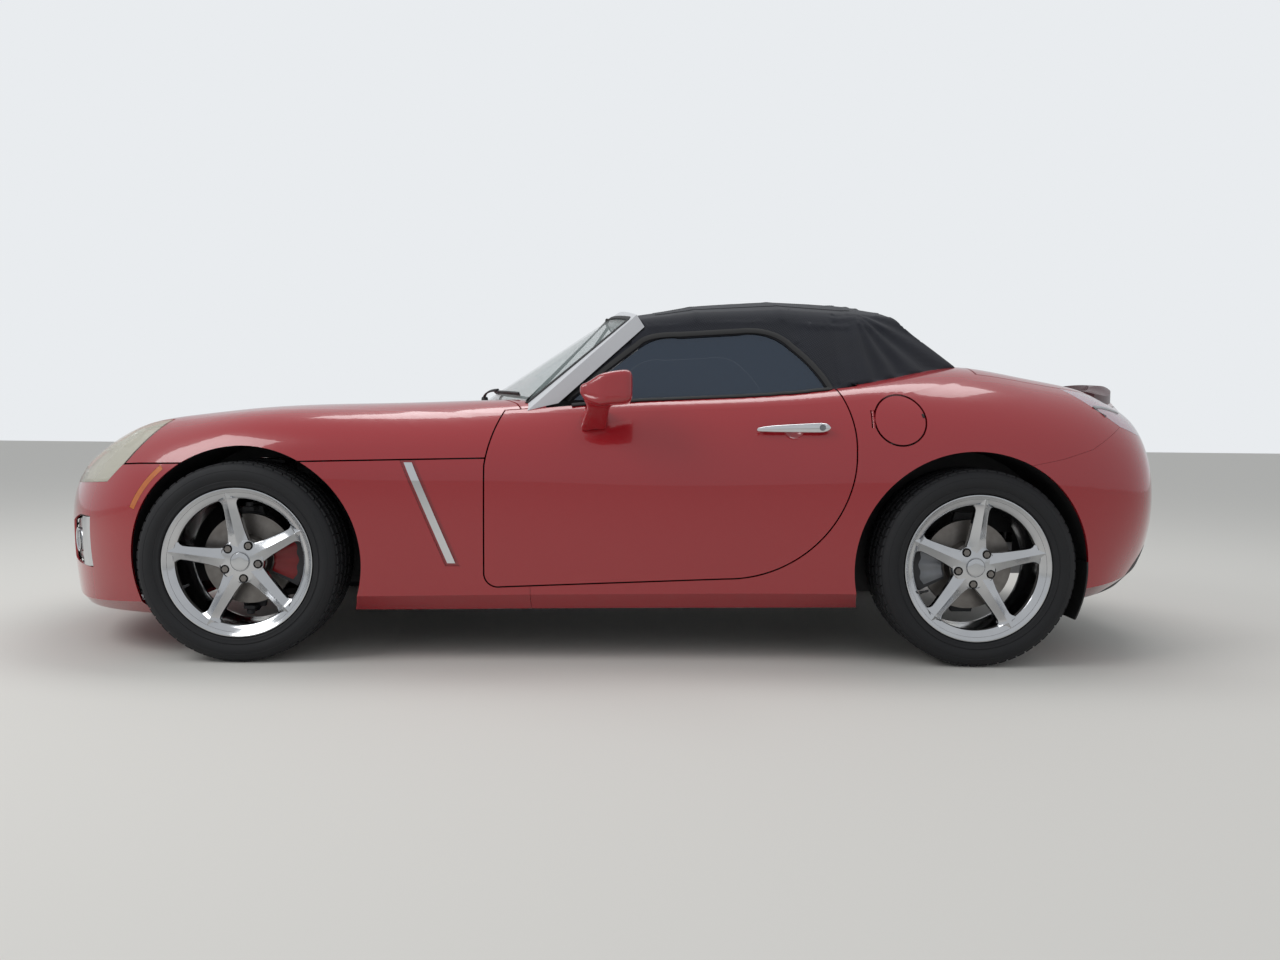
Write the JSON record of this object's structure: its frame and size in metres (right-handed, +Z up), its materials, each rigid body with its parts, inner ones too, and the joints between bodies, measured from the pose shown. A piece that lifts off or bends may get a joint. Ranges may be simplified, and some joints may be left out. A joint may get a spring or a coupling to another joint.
{
  "type": "convertible car",
  "caption": "Low two-seat convertible car with its soft top up, long front-hinged clamshell hood, spoked wheels, opening doors and deck lid.",
  "frame": {"origin": "on the ground at the middle of the car's length and width", "axes": "+Z up, nose towards -X, the car's right side towards +Y"},
  "size_m": [4.0976, 2.0206, 1.277],
  "materials": {
    "body_paint": "glossy red enamel",
    "frame_paint": "satin black",
    "lip_paint": "dark red enamel",
    "screen_frame": "satin silver",
    "clear_glass": "clear",
    "tinted_glass": "dark tint",
    "cloth": "woven cloth",
    "seat_cloth": "woven cloth",
    "black_plastic": "grained",
    "lamp_silver": "metallised",
    "lens_clear": "clear, slightly yellowed",
    "lens_tail": "pale pink-tinted lens",
    "lens_amber": "amber lens",
    "bright_metal": "bright plated",
    "wheel_metal": "polished",
    "tyre_rubber": "matt",
    "flap_rubber": "matt",
    "iron": "machined",
    "dark_metal": "as cast",
    "steel": "plain"
  },
  "bodies": {
    "car_body": {"console": "black_plastic", "cowl": "body_paint", "dashboard": "black_plastic", "engine": "dark_metal", "exhaust": "steel", "fender_vents": "bright_metal", "floor_tub": "frame_paint", "fog_lamps": "lamp_silver", "fog_trims": "bright_metal", "front_bumper": "body_paint", "front_fenders": "body_paint", "front_frame": "frame_paint", "front_suspension": "dark_metal", "grille": "black_plastic", "headlamp_housings": "lamp_silver", "headlamp_lenses": "lens_clear", "pedals": "black_plastic", "radiator": "steel", "rear_body": "body_paint", "rear_bumper": "body_paint", "rear_suspension": "dark_metal", "rear_valance": "black_plastic", "rear_window": "tinted_glass", "seat_left": "seat_cloth", "seat_right": "seat_cloth", "side_markers": "lens_amber", "soft_top": "cloth", "splash_guards": "flap_rubber", "tail_lamps": "lens_tail", "wheel_housings": "black_plastic", "windscreen": "clear_glass", "windscreen_frame": "screen_frame"},
    "hood": {"hood": "body_paint"},
    "deck_lid": {"deck_lid": "body_paint", "rear_spoiler": "lip_paint"},
    "fuel_flap": {"fuel_flap": "body_paint"},
    "steering_wheel": {"steering_wheel": "black_plastic"},
    "knuckle_left": {"knuckle_left": "dark_metal"},
    "knuckle_right": {"knuckle_right": "dark_metal"},
    "door_left": {"door_left": "body_paint", "door_glass_left": "tinted_glass", "mirror_left": "body_paint", "door_handle_left": "bright_metal"},
    "wheel_front_left": {"rim_front_left": "wheel_metal", "tyre_front_left": "tyre_rubber", "brake_disc_front_left": "iron"},
    "wheel_rear_left": {"rim_rear_left": "wheel_metal", "tyre_rear_left": "tyre_rubber", "brake_disc_rear_left": "iron"},
    "door_right": {"door_right": "body_paint", "door_glass_right": "tinted_glass", "mirror_right": "body_paint", "door_handle_right": "bright_metal"},
    "wheel_front_right": {"rim_front_right": "wheel_metal", "tyre_front_right": "tyre_rubber", "brake_disc_front_right": "iron"},
    "wheel_rear_right": {"rim_rear_right": "wheel_metal", "tyre_rear_right": "tyre_rubber", "brake_disc_rear_right": "iron"}
  },
  "joints": [
    {"name": "door_left_swing", "type": "hinge", "parent": "car_body", "child": "door_left", "pos_m": [-0.365, -0.85, 0.485], "axis": [0, 0, -1], "range_deg": [0, 65]},
    {"name": "steer_left", "type": "hinge", "parent": "car_body", "child": "knuckle_left", "pos_m": [-1.2005, -0.7575, 0.328], "axis": [0, 0, 1], "range_deg": [-33, 33]},
    {"name": "wheel_front_left_spin", "type": "hinge", "parent": "knuckle_left", "child": "wheel_front_left", "pos_m": [-1.2005, -0.7715, 0.328], "axis": [0, -1, 0], "continuous": true},
    {"name": "wheel_rear_left_spin", "type": "hinge", "parent": "car_body", "child": "wheel_rear_left", "pos_m": [1.2145, -0.78, 0.328], "axis": [0, -1, 0], "continuous": true},
    {"name": "door_right_swing", "type": "hinge", "parent": "car_body", "child": "door_right", "pos_m": [-0.365, 0.85, 0.485], "axis": [0, 0, 1], "range_deg": [0, 65]},
    {"name": "steer_right", "type": "hinge", "parent": "car_body", "child": "knuckle_right", "pos_m": [-1.2005, 0.7575, 0.328], "axis": [0, 0, 1], "range_deg": [-33, 33]},
    {"name": "wheel_front_right_spin", "type": "hinge", "parent": "knuckle_right", "child": "wheel_front_right", "pos_m": [-1.2005, 0.7715, 0.328], "axis": [0, -1, 0], "continuous": true},
    {"name": "wheel_rear_right_spin", "type": "hinge", "parent": "car_body", "child": "wheel_rear_right", "pos_m": [1.2145, 0.78, 0.328], "axis": [0, -1, 0], "continuous": true},
    {"name": "hood_hinge", "type": "hinge", "parent": "car_body", "child": "hood", "pos_m": [-1.9905, 0, 0.58], "axis": [0, -1, 0], "range_deg": [0, 55]},
    {"name": "deck_lid_hinge", "type": "hinge", "parent": "car_body", "child": "deck_lid", "pos_m": [1.995, 0, 0.8644], "axis": [0, 1, 0], "range_deg": [0, 50]},
    {"name": "fuel_flap_hinge", "type": "hinge", "parent": "car_body", "child": "fuel_flap", "pos_m": [0.871, -0.83222, 0.812], "axis": [0, 0.4629, 0.8864], "range_deg": [-80, 0]},
    {"name": "steering_wheel_turn", "type": "hinge", "parent": "car_body", "child": "steering_wheel", "pos_m": [0.15, -0.395, 0.735], "axis": [0.9135, 0, 0.4067], "range_deg": [-528, 528]}
  ],
  "couplings": [
    {"joint": "steer_right", "follows": "steer_left", "ratio": 1},
    {"joint": "steering_wheel_turn", "follows": "steer_left", "ratio": 16}
  ]
}
